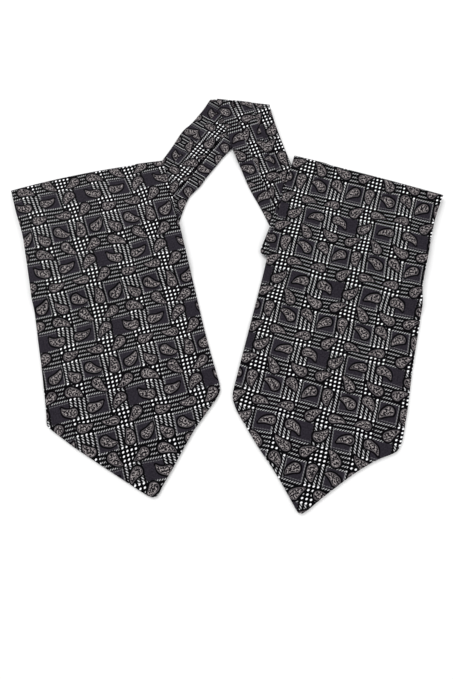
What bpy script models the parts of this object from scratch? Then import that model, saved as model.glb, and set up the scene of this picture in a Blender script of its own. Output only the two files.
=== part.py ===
"""A silk cravat laid flat: two wide pointed blades of double cloth, each folded in a Z near its top,
and a pleated neckband between them that is folded once at the back of the neck.

The cloth lies on z = 0. Lengths here are millimetres and the meshes are metres. +X runs from the left
blade to the right blade, and +Y from the points to the neck fold.
"""

import math

import bmesh
import bpy
from mathutils import Vector
from mathutils.geometry import tessellate_polygon

MM = 0.001

# The cloth.
GAP = 0.3
FRONT_WALL = 1.1
BACK_WALL = 1.0
BACK_INSET = 0.8

# The hidden layers of each Z-fold, pressed flat.
TUCK_HEIGHT = 4.0
TUCK_LENGTH = 120.0
TUCK_INSET = 2.0
TUCK_OVERLAY = 1.2
RAMP_START = 121.0
RAMP_LENGTH = 20.0
SKEW_LENGTH = 200.0

# How the front panel rolls round the top fold, and how much less it turns where the neckband is.
ROLL_RADIUS = 2.6
ROLL_STEPS = 6
ROLL_TURN_DEG = 165.0
NECK_TURN_DEG = 112.0
NECK_TURN_START = 56.0
NECK_TURN_RAMP = 14.0

# The pleated neckband: a bundle of hidden layers with a raised strip between two pleat edges.
BAND_LOW = 2.6
BAND_STRIP = 1.0
BAND_HIGH = BAND_LOW + GAP + BAND_STRIP
PLEAT_DEPTH = 4.0
BAND_CLEARANCE = 0.4
BUMP_HEIGHT = BAND_HIGH + BAND_CLEARANCE + TUCK_OVERLAY - TUCK_HEIGHT
BUMP_SIDE_RAMP = 8.0
BUMP_LOWER_RAMP = 12.0
NECK_LIFT = BAND_HIGH + GAP
NOSE_STEPS = 8

CLOTH_COLOUR = (0.070, 0.062, 0.073, 1.0)
BACK_COLOUR = (0.052, 0.046, 0.055, 1.0)
BAND_COLOUR = (0.062, 0.055, 0.065, 1.0)
TUCK_COLOUR = (0.045, 0.040, 0.048, 1.0)
CLOTH_ROUGHNESS = 0.55

# Moves the whole so that its box is centred on the origin.
HOME = (-0.064, 0.153)

# Where each blade's top fold has its middle, how far its sides lean from -Y, and which side of it the
# neck is on.
BLADES = {
    "left": {"x": -146.5, "y": 120.1, "lean_deg": 14.3, "neck_sign": 1},
    "right": {"x": 147.9, "y": 120.7, "lean_deg": -14.7, "neck_sign": -1},
}

# How far down the top fold starts at the blade's outer side and at its neck side, and how far it
# bows up between them.
TOP_FOLD = {
    "left": {"outer": 0.4, "neck": 4.7, "bow": 3.7},
    "right": {"outer": 5.6, "neck": -0.8, "bow": 1.0},
}

# Half widths of each blade from its middle line: (down from the top fold, outer side, neck side).
BLADE_EDGES = {
    "left": (
        (0, 79.1, 80.2),
        (27, 77.4, 80.6),
        (60, 74.4, 81.0),
        (104, 74.7, 80.7),
        (150, 75.8, 80.0),
        (200, 77.2, 79.3),
        (248, 80.0, 80.5),
        (256, 75.0, 79.6),
        (262, 69.8, 75.3),
        (272, 61.3, 64.2),
        (285, 49.0, 49.0),
        (300, 34.5, 34.6),
        (315, 19.8, 20.9),
        (326, 9.0, 10.3),
        (331.5, 3.2, 5.6),
        (333.2, 0.5, 3.4),
    ),
    "right": (
        (0, 79.3, 79.2),
        (32, 75.2, 80.0),
        (73, 74.0, 80.6),
        (106, 73.4, 80.2),
        (138, 77.5, 79.5),
        (196, 77.8, 79.3),
        (227, 78.9, 79.2),
        (255, 79.2, 79.1),
        (265, 78.6, 77.8),
        (270, 77.6, 75.0),
        (275, 75.0, 71.5),
        (285, 61.4, 61.8),
        (300, 45.1, 46.8),
        (320, 27.6, 24.5),
        (334, 16.1, 10.8),
        (343, 9.2, 2.5),
        (347, 5.2, -1.5),
    ),
}

# The neck side of each tuck: (down from the top fold, edge of the upper layer, edge of the lower
# layers, which leave room for the end of the neckband).
TUCK_EDGES = {
    "left": (
        (0, 77.6, 74.5),
        (10, 77.8, 67.8),
        (20, 77.9, 62.2),
        (30, 78.0, 59.3),
        (45, 78.0, 57.5),
        (54, 78.1, 64.2),
        (64, 78.3, 71.3),
        (74, 78.5, 76.8),
        (84, 78.6, 77.6),
        (TUCK_LENGTH, 78.6, 77.6),
    ),
    "right": (
        (0, 78.8, 77.5),
        (10, 79.6, 76.6),
        (20, 80.6, 69.4),
        (30, 81.4, 61.2),
        (45, 82.4, 51.6),
        (54, 83.0, 49.8),
        (64, 83.7, 55.8),
        (74, 84.5, 61.9),
        (84, 85.2, 67.9),
        (90, 85.6, 71.6),
        (96, 86.2, 75.2),
        (102, 86.8, 78.6),
        (TUCK_LENGTH - 4.2, 88.3, 79.6),
        (TUCK_LENGTH, 81.0, 79.6),
    ),
}

# Where the blade rises over the end of the neckband: from how far towards the neck, and down to where.
BAND_BUMP = {
    "left": {"side": 46.0, "lower": 82.0},
    "right": {"side": 39.0, "lower": 102.0},
}

# Stations down a blade, in three stretches: over the tuck, down its ramp and on the floor.
TUCK_STATIONS = (10, 20, 30, 45, 54, 64, 74, 84, 90, 96, 102, 108, 114)
RAMP_STATIONS = (125, 129, 133, 137)
FLOOR_STATIONS = (165, 190, 220)
COLUMNS = (0.04, 0.2, 0.4, 0.58, 0.7, 0.76, 0.82, 0.88, 0.95)

# A panel's rim: how far in from its edge, and the level between its lower and upper face.
FRONT_RIM = ((0.0, 0.12), (0.0, 0.45), (0.35, 0.85), (1.1, 1.0))
BACK_RIM = ((0.8, 0.0), (0.25, 0.2), (0.0, 0.55), (0.0, 0.9))

# Sections of the neckband from the neck fold down, in the floor's x and y: the outer and the inner
# edge of the band, and how high each is lifted off the floor.
LEFT_BAND = (
    # outer_x, outer_y, inner_x, inner_y, outer_lift, inner_lift
    (-18.6, 214.3, 46.7, 204.8, 0, 0),
    (-22.6, 209.3, 34.0, 188.4, 0, 0),
    (-29.0, 199.5, 20.0, 170.9, 0, 0),
    (-38.4, 186.2, 4.6, 153.6, 0, 0),
    (-46.0, 178.3, -3.8, 143.5, 0, 0),
    (-50.4, 171.8, -9.6, 135.1, 0, 0),
    (-54.8, 163.4, -15.9, 126.2, 0, 0),
    (-58.6, 156.1, -21.8, 117.8, 0, 0),
    (-63.8, 147.0, -27.8, 108.1, 0, 0),
    (-69.0, 138.2, -35.6, 99.2, 0, 0),
    (-75.8, 123.8, -40.2, 92.2, 0, 0),
    (-79.4, 107.8, -45.2, 78.2, 0, 0),
    (-77.4, 87.8, -49.0, 64.1, 0, 0),
)
RIGHT_BAND = (
    (47.0, 205.3, -11.1, 213.3, NECK_LIFT, NECK_LIFT),
    (49.8, 194.2, -7.0, 200.2, 3.9, 4.45),
    (52.8, 182.7, -2.5, 183.2, 3.4, 4.55),
    (56.4, 170.7, 1.5, 167.7, 2.6, 4.2),
    (60.3, 158.3, 5.5, 153.9, 1.8, 3.4),
    (64.2, 146.7, 11.2, 138.3, 1.0, 2.2),
    (68.2, 135.4, 16.8, 123.8, 0.3, 1.0),
    (73.0, 123.2, 24.2, 104.2, 0, 0),
    (79.0, 109.2, 35.5, 80.8, 0, 0),
    (84.0, 95.2, 44.4, 60.2, 0, 0),
    (84.5, 81.2, 50.0, 48.2, 0, 0),
)

# The raised strip's two edges, as shares of the band's width from its outer edge.
LEFT_PLEATS = (0.26, 0.72)
RIGHT_PLEATS = (0.35, 0.70)


def lerp(a, b, share):
    return a + (b - a) * share


def smooth_step(value):
    t = min(max(value, 0.0), 1.0)
    return t * t * (3 - 2 * t)


def read_table(table, at, column):
    """The table's value in a column, between the two rows on either side of at."""
    for low, high in zip(table, table[1:]):
        if at <= high[0]:
            share = (at - low[0]) / (high[0] - low[0])
            return lerp(low[column], high[column], max(share, 0.0))
    return table[-1][column]


def tuck_top(side, neckward, down):
    """Height of the tuck's upper face: level, and higher over the end of the neckband."""
    bump = BAND_BUMP[side]
    across = smooth_step((neckward - bump["side"]) / BUMP_SIDE_RAMP)
    along = 1 - smooth_step((down - bump["lower"]) / BUMP_LOWER_RAMP)
    return TUCK_HEIGHT + BUMP_HEIGHT * across * along


def panel_floor(side, neckward, down):
    """Height of the blade's underside: on the tuck, then down a ramp to the floor."""
    on_tuck = tuck_top(side, neckward, down) + GAP
    return on_tuck * (1 - smooth_step((down - RAMP_START) / RAMP_LENGTH))


def along_blade(side, down, share):
    """Where a station lies at a share of the width: it follows the top fold near it."""
    fold = TOP_FOLD[side]
    start = lerp(fold["outer"], fold["neck"], share) - fold["bow"] * 4 * share * (1 - share)
    return down + start * max(1 - down / SKEW_LENGTH, 0.0)


def blade_place(side, down, share, inset=0.0):
    """(towards the neck, down) at a share of the width, from the outer edge (0) to the neck edge (1)."""
    edges = BLADE_EDGES[side]
    outer = -read_table(edges, down, 1)
    neck = read_table(edges, down, 2)
    room = min(inset, (neck - outer) * 0.3)
    return lerp(outer + room, neck - room, share), along_blade(side, down, share)


def blade_point(side, neckward, down, height):
    """A point in a blade's own axes: +X across, +Y up to the fold."""
    return (BLADES[side]["neck_sign"] * neckward * MM, -down * MM, height * MM)


def section_cap(row):
    """Faces that close a bent section, as numbers of its points."""
    outline = [Vector((vertex.co.x, vertex.co.z, 0)) for vertex in row]
    return tessellate_polygon([outline])


def strip_cap(row):
    """Faces that close a panel's section: a strip between its columns, and a face at each rim."""
    count = len(row)
    columns = len(COLUMNS)
    rim = (count - 2 * columns) // 2
    top = list(range(rim, rim + columns))
    under = list(range(count - 1, count - 1 - columns, -1))
    faces = [(*range(rim), top[0], under[0])]
    for k in range(columns - 1):
        faces.append((under[k], top[k], top[k + 1], under[k + 1]))
    faces.append((under[-1], top[-1], *range(rim + columns, 2 * rim + columns)))
    return faces


def loft(name, rings, cap):
    """A closed solid through rings of equal length, with flat ends."""
    mesh = bpy.data.meshes.new(name)
    shape = bmesh.new()
    rows = [[shape.verts.new(point) for point in ring] for ring in rings]
    count = len(rows[0])
    for first, second in zip(rows, rows[1:]):
        for k in range(count):
            after = (k + 1) % count
            shape.faces.new((first[k], first[after], second[after], second[k]))
    for row in (rows[0], rows[-1]):
        for corners in cap(row):
            shape.faces.new([row[k] for k in corners])
    bmesh.ops.triangulate(shape, faces=shape.faces[:])
    bmesh.ops.recalc_face_normals(shape, faces=shape.faces[:])
    if shape.calc_volume(signed=True) < 0:
        bmesh.ops.reverse_faces(shape, faces=shape.faces[:])
    shape.to_mesh(mesh)
    shape.free()
    return mesh


def add_node(name, mesh, colour, location=(0, 0), lean_deg=0.0):
    node = bpy.data.objects.new(name, mesh)
    node.location = ((HOME[0] + location[0]) * MM, (HOME[1] + location[1]) * MM, 0)
    node.rotation_euler = (0, 0, math.radians(lean_deg))
    bpy.context.scene.collection.objects.link(node)
    material = bpy.data.materials.new(name)
    material.use_nodes = True
    shader = material.node_tree.nodes["Principled BSDF"]
    shader.inputs["Base Color"].default_value = colour
    shader.inputs["Roughness"].default_value = CLOTH_ROUGHNESS
    shader.inputs["Metallic"].default_value = 0.0
    mesh.materials.append(material)
    mesh.shade_smooth()
    mesh.set_sharp_from_angle(angle=math.radians(40))
    return node


def add_blade_node(name, mesh, colour, side):
    blade = BLADES[side]
    return add_node(name, mesh, colour, (blade["x"], blade["y"]), blade["lean_deg"])


def stations(side, first):
    """Every station down a blade, from first to the tip."""
    point_rows = [row[0] for row in BLADE_EDGES[side] if row[0] > FLOOR_STATIONS[-1]]
    middle = TUCK_STATIONS + (TUCK_LENGTH, RAMP_START) + RAMP_STATIONS
    middle += (RAMP_START + RAMP_LENGTH,) + FLOOR_STATIONS
    return [first, *middle, *point_rows]


def panel_path(width, rim):
    """(share of the width, level) round a panel: up its outer rim, over it, and back under it."""
    rims = [(min(into / width, 0.25 * into / rim_depth(rim)), level) for into, level in rim]
    deepest = max(share for share, level in rims)
    inner = [lerp(deepest, 1 - deepest, share) for share in COLUMNS]
    path = rims + [(share, 1.0) for share in inner]
    path += [(1 - share, level) for share, level in reversed(rims)]
    path += [(share, 0.0) for share in reversed(inner)]
    return path


def rim_depth(rim):
    return max(into for into, level in rim)


def panel_ring(side, down, inset, rim, lower, upper):
    """A section across a panel."""
    width = blade_place(side, down, 1, inset)[0] - blade_place(side, down, 0, inset)[0]
    ring = []
    for share, level in panel_path(width, rim):
        neckward, along = blade_place(side, down, share, inset)
        height = lerp(lower(neckward, down), upper(neckward, down), level)
        ring.append(blade_point(side, neckward, along, height))
    return ring


def roll_ring(side, turn):
    """A section of the front panel where it rolls round the top fold, turn from 0 (over) to 1."""
    ring = []
    width = blade_place(side, 0, 1)[0] - blade_place(side, 0, 0)[0]
    for share, level in panel_path(width, FRONT_RIM):
        neckward, along = blade_place(side, 0, share)
        near_neck = smooth_step((neckward - NECK_TURN_START) / NECK_TURN_RAMP)
        angle = math.radians(lerp(ROLL_TURN_DEG, NECK_TURN_DEG, near_neck)) * turn
        top = panel_floor(side, neckward, 0) + BACK_WALL + GAP + FRONT_WALL
        radius = ROLL_RADIUS - FRONT_WALL * (1 - level)
        down = along + ROLL_RADIUS - radius * math.sin(angle)
        height = top - ROLL_RADIUS + radius * math.cos(angle)
        ring.append(blade_point(side, neckward, down, height))
    return ring


def make_blade_front(side):
    def lower(neckward, down):
        return panel_floor(side, neckward, down) + BACK_WALL + GAP

    def upper(neckward, down):
        return lower(neckward, down) + FRONT_WALL

    rings = [roll_ring(side, 1 - k / ROLL_STEPS) for k in range(ROLL_STEPS)]
    for down in stations(side, ROLL_RADIUS + 0.2):
        rings.append(panel_ring(side, down, 0.0, FRONT_RIM, lower, upper))
    name = f"{side}_blade_front"
    return add_blade_node(name, loft(name, rings, strip_cap), CLOTH_COLOUR, side)


def make_blade_back(side):
    def lower(neckward, down):
        return panel_floor(side, neckward, down)

    def upper(neckward, down):
        return lower(neckward, down) + BACK_WALL

    downs = stations(side, ROLL_RADIUS + 0.5)
    downs[-1] -= BACK_INSET
    rings = [panel_ring(side, down, BACK_INSET, BACK_RIM, lower, upper) for down in downs]
    name = f"{side}_blade_back"
    return add_blade_node(name, loft(name, rings, strip_cap), BACK_COLOUR, side)


def tuck_ring(side, down, squeeze):
    """A section across a tuck: its layered outer side, its top, and the overlay on the band's end."""
    outer = blade_place(side, down, 0)[0] + TUCK_INSET
    overlay = read_table(TUCK_EDGES[side], down, 1)
    inner = read_table(TUCK_EDGES[side], down, 2)
    half = TUCK_HEIGHT / 2
    path = [
        (outer + 0.6, 0.0),
        (outer, 0.4),
        (outer, half - 0.5),
        (outer + 0.6, half - 0.15),
        (outer + 0.6, half + 0.15),
        (outer, half + 0.5),
        (outer, TUCK_HEIGHT - 0.4),
        (outer + 0.6, TUCK_HEIGHT),
    ]
    for share in COLUMNS[1:]:
        neckward = blade_place(side, down, share)[0]
        path.append((neckward, tuck_top(side, neckward, down)))
    edge_top = tuck_top(side, overlay, down)
    under = edge_top - TUCK_OVERLAY
    path += [
        (overlay - 0.5, edge_top),
        (overlay, edge_top - 0.35),
        (overlay, under + 0.35),
        (overlay - 0.5, under),
        (inner + 0.3, under + 0.05),
        (inner, under - 0.4),
        (inner, 0.4),
        (inner - 0.4, 0.0),
    ]
    ring = []
    middle = edge_top / 2
    for neckward, height in path:
        along = along_blade(side, down, (neckward - outer) / (overlay - outer))
        squeezed = lerp(height, middle, squeeze)
        ring.append(blade_point(side, neckward, along, squeezed))
    return ring


def make_tuck(side):
    first = ROLL_RADIUS + 0.5
    rows = [(first, 0.2), (first + 1.2, 0.0)]
    rows += [(down, 0.0) for down in TUCK_STATIONS]
    rows += [(TUCK_LENGTH - 1.2, 0.0), (TUCK_LENGTH, 0.3)]
    rings = [tuck_ring(side, down, squeeze) for down, squeeze in rows]
    name = f"{side}_tuck"
    return add_blade_node(name, loft(name, rings, section_cap), TUCK_COLOUR, side)


def band_section(width, pleats):
    """(across from the outer edge, height) round the pleated bundle: two layers at each side and a
    raised strip whose pleat edges stand free of them."""
    half = BAND_LOW / 2
    first = width * pleats[0]
    second = width * pleats[1]
    slit = BAND_LOW + GAP
    side = [
        (0.5, 0.0),
        (0.0, 0.35),
        (0.0, half - 0.45),
        (0.5, half - 0.15),
        (0.5, half + 0.15),
        (0.0, half + 0.45),
        (0.0, BAND_LOW - 0.35),
        (0.5, BAND_LOW),
    ]
    strip = [
        (PLEAT_DEPTH, BAND_LOW - 0.05),
        (PLEAT_DEPTH, slit + 0.05),
        (0.4, slit),
        (0.0, slit + 0.3),
        (0.0, BAND_HIGH - 0.3),
        (0.5, BAND_HIGH),
    ]
    section = list(side)
    section += [(first + across, height) for across, height in strip]
    section += [((first + second) / 2, BAND_HIGH + 0.05)]
    section += [(second - across, height) for across, height in reversed(strip)]
    section += [(width - across, height) for across, height in reversed(side)]
    return section


def smooth_rows(table, steps):
    """The table's rows with steps more between each two, on a curve through them."""
    rows = []
    for k in range(len(table) - 1):
        before = table[max(k - 1, 0)]
        here = table[k]
        after = table[k + 1]
        beyond = table[min(k + 2, len(table) - 1)]
        for step in range(steps):
            t = step / steps
            rows.append([
                0.5 * (2 * b + (c - a) * t + (2 * a - 5 * b + 4 * c - d) * t * t
                       + (3 * b - a - 3 * c + d) * t ** 3)
                for a, b, c, d in zip(before, here, after, beyond)
            ])
    rows.append(list(table[-1]))
    return rows


def band_ring(row, pleats):
    outer_x, outer_y, inner_x, inner_y, outer_lift, inner_lift = row
    width = math.hypot(inner_x - outer_x, inner_y - outer_y)
    ring = []
    for across, height in band_section(width, pleats):
        share = across / width
        x = lerp(outer_x, inner_x, share)
        y = lerp(outer_y, inner_y, share)
        z = max(lerp(outer_lift, inner_lift, share), 0.0) + height
        ring.append((x * MM, y * MM, z * MM))
    return ring


def nose_ring(row, pleats, angle):
    """The band's section at the neck fold, turned down by angle about the fold's own line."""
    outer_x, outer_y, inner_x, inner_y = row[:4]
    width = math.hypot(inner_x - outer_x, inner_y - outer_y)
    axis_height = NECK_LIFT - GAP / 2
    forward = ((inner_y - outer_y) / width, (outer_x - inner_x) / width)
    ring = []
    for across, height in band_section(width, pleats):
        share = across / width
        reach = height + GAP / 2
        out = reach * math.sin(angle)
        x = lerp(outer_x, inner_x, share) + forward[0] * out
        y = lerp(outer_y, inner_y, share) + forward[1] * out
        z = max(axis_height + reach * math.cos(angle), 0.0)
        ring.append((x * MM, y * MM, z * MM))
    return ring


def make_left_band():
    rows = smooth_rows(LEFT_BAND, 2)
    rings = [band_ring(row, LEFT_PLEATS) for row in rows]
    return add_node("left_band", loft("left_band", rings, section_cap), BAND_COLOUR)


def make_right_band():
    rows = smooth_rows(RIGHT_BAND, 2)
    turns = [math.pi * (1 - k / NOSE_STEPS) for k in range(NOSE_STEPS)]
    rings = [nose_ring(rows[0], RIGHT_PLEATS, angle) for angle in turns]
    rings += [band_ring(row, RIGHT_PLEATS) for row in rows]
    return add_node("right_band", loft("right_band", rings, section_cap), BAND_COLOUR)


def main():
    for old in list(bpy.data.objects):
        bpy.data.objects.remove(old, do_unlink=True)
    for side in BLADES:
        make_tuck(side)
        make_blade_back(side)
        make_blade_front(side)
    make_left_band()
    make_right_band()


main()
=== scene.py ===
"""Looks of the silk cravat: a fine shell for each cloth piece, the printed silk, the floor, the light
and the camera. Lengths are millimetres unless a name says otherwise, and meshes are metres.
"""

import math

import bmesh
import bpy
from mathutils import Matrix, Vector
from mathutils.geometry import tessellate_polygon


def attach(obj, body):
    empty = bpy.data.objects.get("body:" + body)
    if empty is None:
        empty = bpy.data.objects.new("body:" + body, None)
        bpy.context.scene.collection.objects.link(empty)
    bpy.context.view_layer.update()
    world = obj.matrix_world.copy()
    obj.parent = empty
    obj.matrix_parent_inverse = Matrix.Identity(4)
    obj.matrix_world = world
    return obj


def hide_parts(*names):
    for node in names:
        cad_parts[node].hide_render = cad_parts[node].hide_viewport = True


MM = 0.001

# The cloth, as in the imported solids.
GAP = 0.3
FRONT_WALL = 1.1
BACK_WALL = 1.0
BACK_INSET = 0.8
TUCK_HEIGHT = 4.0
TUCK_LENGTH = 120.0
TUCK_INSET = 2.0
TUCK_OVERLAY = 1.2
ROLL_RADIUS = 2.6
RAMP_START = 121.0
RAMP_LENGTH = 20.0
SKEW_LENGTH = 200.0
BAND_LOW = 2.6
BAND_STRIP = 1.0
BAND_HIGH = BAND_LOW + GAP + BAND_STRIP
PLEAT_DEPTH = 4.0
BUMP_CLEARANCE = 0.4
BUMP_HEIGHT = BAND_HIGH + BUMP_CLEARANCE + TUCK_OVERLAY - TUCK_HEIGHT
BUMP_SIDE_RAMP = 8.0
BUMP_LOWER_RAMP = 12.0
NECK_LIFT = BAND_HIGH + GAP

# How far the front panel turns round its top fold: nearly back on itself, and less over the neckband.
ROLL_TURN_DEG = 165.0
NECK_TURN_DEG = 112.0
NECK_TURN_START = 56.0
NECK_TURN_RAMP = 14.0

# The panels begin this far below the top fold: the front where its roll ends, the layers inside it.
FRONT_START = ROLL_RADIUS + 0.2
LAYERS_START = ROLL_RADIUS + 0.5

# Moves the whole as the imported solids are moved.
HOME = (-0.064, 0.153)

# The middle of each blade's top edge on the floor, its lean, and the way to the neck along x.
BLADES = {
    "left": {"x": -146.5, "y": 120.1, "lean_deg": 14.3, "neck_sign": 1},
    "right": {"x": 147.9, "y": 120.7, "lean_deg": -14.7, "neck_sign": -1},
}

# How far below the straight top edge the fold lies at its ends, and how far it bows up between them.
TOP_FOLD = {
    "left": {"outer": 0.4, "neck": 4.7, "bow": 3.7},
    "right": {"outer": 5.6, "neck": -0.8, "bow": 1.0},
}

# Half widths of each blade from its middle line: (down from the top fold, outer side, neck side).
BLADE_EDGES = {
    "left": (
        (0, 79.1, 80.2),
        (27, 77.4, 80.6),
        (60, 74.4, 81.0),
        (104, 74.7, 80.7),
        (150, 75.8, 80.0),
        (200, 77.2, 79.3),
        (240, 79.2, 80.2),
        (248, 80.0, 80.5),
        (256, 75.0, 79.6),
        (262, 69.8, 75.3),
        (272, 61.3, 64.2),
        (285, 49.0, 49.0),
        (300, 34.5, 34.6),
        (315, 19.8, 20.9),
        (326, 9.0, 10.3),
        (331.5, 3.2, 5.6),
        (333.2, 0.5, 3.4),
    ),
    "right": (
        (0, 79.3, 79.2),
        (32, 75.2, 80.0),
        (73, 74.0, 80.6),
        (106, 73.4, 80.2),
        (138, 77.5, 79.5),
        (196, 77.8, 79.3),
        (227, 78.9, 79.2),
        (255, 79.2, 79.1),
        (265, 78.6, 77.8),
        (270, 77.6, 75.0),
        (275, 75.0, 71.5),
        (285, 61.4, 61.8),
        (300, 45.1, 46.8),
        (320, 27.6, 24.5),
        (334, 16.1, 10.8),
        (343, 9.2, 2.5),
        (347, 5.2, -1.5),
    ),
}

# The neck side of each tuck: (down, edge of the upper layer, edge of the lower layers).
TUCK_EDGES = {
    "left": (
        (0, 77.6, 74.5),
        (10, 77.8, 67.8),
        (20, 77.9, 62.2),
        (30, 78.0, 59.3),
        (45, 78.0, 57.5),
        (54, 78.1, 64.2),
        (64, 78.3, 71.3),
        (74, 78.5, 76.8),
        (84, 78.6, 77.6),
        (TUCK_LENGTH, 78.6, 77.6),
    ),
    "right": (
        (0, 78.8, 77.5),
        (10, 79.6, 76.6),
        (20, 80.6, 69.4),
        (30, 81.4, 61.2),
        (45, 82.4, 51.6),
        (54, 83.0, 49.8),
        (64, 83.7, 55.8),
        (74, 84.5, 61.9),
        (84, 85.2, 67.9),
        (90, 85.6, 71.6),
        (96, 86.2, 75.2),
        (102, 86.8, 78.6),
        (TUCK_LENGTH - 4.2, 88.3, 79.6),
        (TUCK_LENGTH, 81.0, 79.6),
    ),
}

# Where the tuck rises over the end of the neckband: from here towards the neck, and down to here.
BAND_BUMP = {
    "left": {"side": 46.0, "lower": 82.0},
    "right": {"side": 39.0, "lower": 102.0},
}

# Sections of the neckband from the neck fold down, in the floor's x and y.
LEFT_BAND = (
    # outer_x, outer_y, inner_x, inner_y, outer_lift, inner_lift
    (-18.6, 214.3, 46.7, 204.8, 0, 0),
    (-22.6, 209.3, 34.0, 188.4, 0, 0),
    (-29.0, 199.5, 20.0, 170.9, 0, 0),
    (-38.4, 186.2, 4.6, 153.6, 0, 0),
    (-46.0, 178.3, -3.8, 143.5, 0, 0),
    (-50.4, 171.8, -9.6, 135.1, 0, 0),
    (-54.8, 163.4, -15.9, 126.2, 0, 0),
    (-58.6, 156.1, -21.8, 117.8, 0, 0),
    (-63.8, 147.0, -27.8, 108.1, 0, 0),
    (-69.0, 138.2, -35.6, 99.2, 0, 0),
    (-75.8, 123.8, -40.2, 92.2, 0, 0),
    (-79.4, 107.8, -45.2, 78.2, 0, 0),
    (-77.4, 87.8, -49.0, 64.1, 0, 0),
)
RIGHT_BAND = (
    (47.0, 205.3, -11.1, 213.3, NECK_LIFT, NECK_LIFT),
    (49.8, 194.2, -7.0, 200.2, 3.9, 4.45),
    (52.8, 182.7, -2.5, 183.2, 3.4, 4.55),
    (56.4, 170.7, 1.5, 167.7, 2.6, 4.2),
    (60.3, 158.3, 5.5, 153.9, 1.8, 3.4),
    (64.2, 146.7, 11.2, 138.3, 1.0, 2.2),
    (68.2, 135.4, 16.8, 123.8, 0.3, 1.0),
    (73.0, 123.2, 24.2, 104.2, 0, 0),
    (79.0, 109.2, 35.5, 80.8, 0, 0),
    (84.0, 95.2, 44.4, 60.2, 0, 0),
    (84.5, 81.2, 50.0, 48.2, 0, 0),
)

# The two pleat edges, as shares of the band's width.
LEFT_PLEATS = (0.26, 0.72)
RIGHT_PLEATS = (0.35, 0.70)

# Soft ridges where the laid silk doesn't lie quite flat: from (across, down), to (across, down), half
# width and height, across counted towards the neck. The last ones of each side start at an edge.
BLADE_RIDGES = {
    "left": (
        (-70, 34, 18, 22, 13, 0.7),
        (-60, 96, 44, 84, 16, 0.6),
        (30, 60, 58, 128, 10, 0.6),
        (-78, 168, -6, 196, 15, 1.0),
        (-34, 232, 52, 206, 17, 0.9),
        (12, 150, 74, 176, 12, 0.8),
        (-20, 262, 6, 322, 9, 0.7),
        (-79, 214, -52, 220, 9, 1.1),
        (82, 236, 60, 226, 8, 0.9),
        (80, 146, 66, 158, 8, 0.8),
    ),
    "right": (
        (-66, 28, 30, 40, 14, 0.7),
        (-78, 62, -58, 118, 9, 0.9),
        (-30, 88, 52, 104, 15, 0.6),
        (-72, 182, 8, 164, 16, 0.9),
        (-12, 236, 66, 208, 15, 1.0),
        (20, 140, 76, 160, 11, 0.8),
        (-30, 272, -2, 330, 9, 0.7),
        (-80, 238, -54, 228, 9, 1.0),
        (82, 192, 58, 200, 8, 1.0),
        (-78, 150, -62, 158, 8, 0.9),
    ),
}

# The same on the neckband, in the floor's x and y.
BAND_RIDGES = (
    (-34, 186, -60, 140, 5, 0.35),
    (-6, 158, -26, 132, 6, 0.45),
    (-30, 150, -44, 118, 4, 0.3),
    (40, 190, 58, 146, 6, 0.45),
    (16, 182, 30, 128, 5, 0.4),
    (44, 136, 60, 104, 5, 0.3),
)

# The share of a ridge's height that is left at its ends.
RIDGE_END = 0.35

# How finely the shells are divided.
PANEL_COLUMNS = 61
ROW_STEP = 2.4
ROW_CROWDING = 0.97
TIP_ROWS = (0.9, 0.35, 0.0)
TIP_CLEARANCE = 0.8
RIM_STEPS = 4
ROLL_STEPS = 12
TUCK_ROWS = 38
TUCK_TOP_STEPS = 32
TUCK_UNDER_STEPS = 12
OVERLAY_STEPS = 6
BAND_STEPS = 7
NOSE_STEPS = 14
LOW_STRIP_STEPS = 8
HIGH_STRIP_STEPS = 10
PLEAT_STEPS = 6
BAND_UNDER_STEPS = 21
SHARP_ANGLE_DEG = 60

# The most of a panel's width that an inset or a rim takes up, where the panel is narrow.
INSET_MOST = 0.3
RIM_MOST = 0.2

# Layered edges: how far back every second layer lies, and the share of a step that is left out of its
# round at either end, so that a crease shows between the layers.
LAYER_SETBACK = 0.35
LAYER_CREASE = 0.35

# A tuck's ends round off: (length from the end, share of the height that is pressed to the middle). Its
# even rows begin past that.
TUCK_END = ((0.0, 0.35), (0.5, 0.12), (1.2, 0.0))
TUCK_ROWS_START = 3.0
TUCK_EDGE_ROUND = 0.6
OVERLAY_EDGE_ROUND = 1.0
UNDERSIDE_INSET = 1.0

# Down the inner side of a tuck's lower layers, with a crease half way: (offset from their edge, height as
# a share of the overlay's underside, rise above that).
TUCK_INNER_SIDE = (
    (0.3, 1.0, 0.05),
    (0.0, 1.0, -0.35),
    (0.1, 0.55, 0.0),
    (-0.25, 0.5, 0.0),
    (0.0, 0.42, 0.0),
    (0.0, 0.0, 0.35),
    (-0.4, 0.0, 0.0),
)

# The strips between the pleats swell a little, and stop just short of the pleats' roots and folds.
LOW_SWELL = 0.12
HIGH_SWELL = 0.25
BAND_EDGE_ROUND = 0.4
PLEAT_ROOT_STOP = 0.3
PLEAT_ROOT_RISE = 0.02
PLEAT_FOLD_STOP = 0.8

# The share of the raised strip's height that is left where the band is pressed at its neck fold, how
# deep the band's edges round there, and how the lower half's outer corner rounds out beside the fold.
FOLD_PRESS = 0.3
FOLD_EDGE_ROUND = 0.6
CORNER_REACH = 2.6
CORNER_RISE = 0.45
CORNER_WIDTH = 6.0
CORNER_FADE = 2.6


def lerp(a, b, share):
    return a + (b - a) * share


def smooth_step(value):
    t = min(max(value, 0.0), 1.0)
    return t * t * (3 - 2 * t)


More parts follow.
